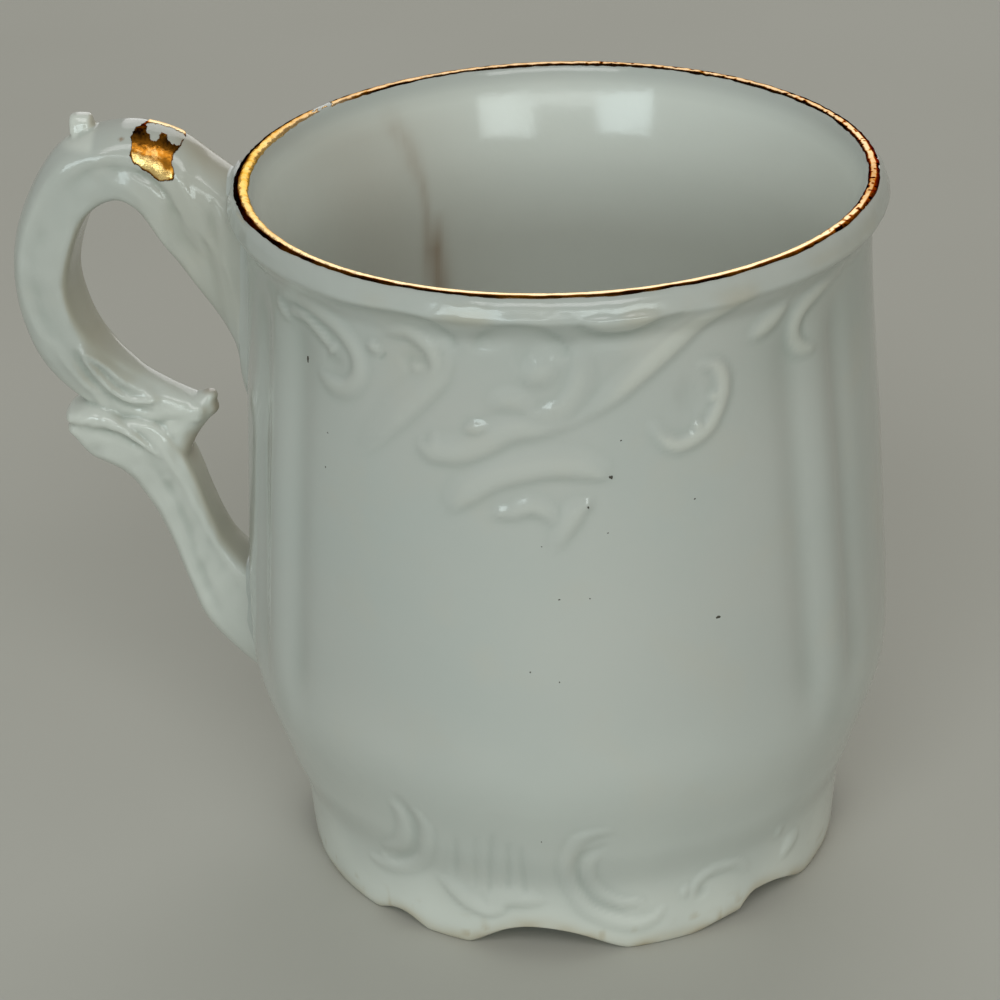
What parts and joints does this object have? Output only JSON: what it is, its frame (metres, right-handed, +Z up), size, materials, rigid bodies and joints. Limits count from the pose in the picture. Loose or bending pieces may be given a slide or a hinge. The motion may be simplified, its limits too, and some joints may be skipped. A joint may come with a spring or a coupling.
{
  "type": "espresso cup",
  "caption": "Small porcelain coffee cup: ribbed, slightly tapered body with scroll relief, flared gilded lip, scalloped foot and a tall scroll handle luted to one side.",
  "frame": {"origin": "on the table plane, under the middle of the whole outline of cup and handle", "axes": "+Z up along the cup's axis, -X towards the handle, -Y towards the broad front panel that the picture shows"},
  "size_m": [0.0778, 0.0584, 0.0698],
  "materials": {
    "porcelain": "glossy",
    "gold": "polished"
  },
  "bodies": {
    "root": {"cup_body": "porcelain", "handle": "porcelain", "upper_luting_slip": "porcelain", "lower_luting_slip": "porcelain", "rim_gilding": "gold", "handle_gilding": "gold"}
  },
  "joints": []
}
